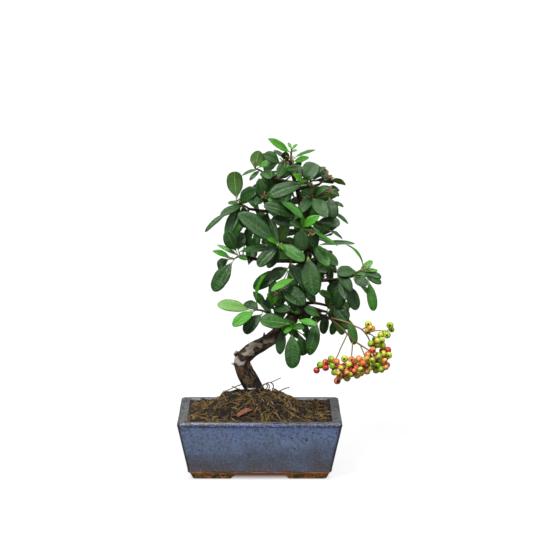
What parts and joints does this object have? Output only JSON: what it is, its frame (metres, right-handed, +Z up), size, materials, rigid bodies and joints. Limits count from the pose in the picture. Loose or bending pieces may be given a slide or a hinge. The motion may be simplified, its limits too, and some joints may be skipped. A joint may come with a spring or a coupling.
{
  "type": "potted bonsai tree",
  "caption": "Small evergreen bonsai with a bent trunk, leafy sprays and a hanging bunch of berries, in a rectangular glazed pot on low feet.",
  "frame": {"origin": "bottom centre of the whole part's box, on the plane that the pot's feet stand on", "axes": "+Z up along the height of the tree; -Y toward the front, the side with the wide face of the pot and most of the large leaves; +X toward the hanging berries"},
  "size_m": [0.238, 0.1464, 0.3713],
  "materials": {
    "glazed_stoneware": "gloss",
    "soil": "matte",
    "bark": "matte",
    "dry_bark": "matte",
    "leaf": "satin",
    "berry": "gloss",
    "wire": "satin",
    "drain_mesh": "matte"
  },
  "bodies": {
    "root": {"pot": "glazed_stoneware", "drain_screen_left": "drain_mesh", "drain_screen_right": "drain_mesh", "soil": "soil", "anchor_wire": "wire", "bark_chip": "dry_bark", "trunk": "bark", "spray_apex": "leaf", "spray_crown": "leaf", "spray_top_left": "leaf", "spray_upper_left": "leaf", "spray_upper_left_inner": "leaf", "spray_brow": "leaf", "spray_temple": "leaf", "spray_face_left": "leaf", "spray_face": "leaf", "spray_upper_right": "leaf", "spray_upper_right_inner": "leaf", "spray_top_right": "leaf", "spray_shoulder": "leaf", "spray_armpit": "leaf", "spray_hanging": "leaf", "spray_right_end": "leaf", "spray_right": "leaf", "spray_lower_right": "leaf", "spray_bottom_right": "leaf", "spray_bottom": "leaf", "spray_low_left": "leaf", "spray_low_inner": "leaf", "spray_middle_low": "leaf", "spray_middle_left": "leaf", "spray_back_01": "leaf", "spray_back_02": "leaf", "spray_back_03": "leaf", "spray_back_04": "leaf", "spray_back_05": "leaf", "spray_back_06": "leaf", "spray_back_07": "leaf", "spray_back_08": "leaf", "spray_back_09": "leaf", "spray_back_10": "leaf", "spray_back_11": "leaf", "spray_back_12": "leaf", "spray_back_13": "leaf", "spray_back_14": "leaf", "spray_back_15": "leaf", "berries_lower": "berry", "berries_upper": "berry"}
  },
  "joints": []
}
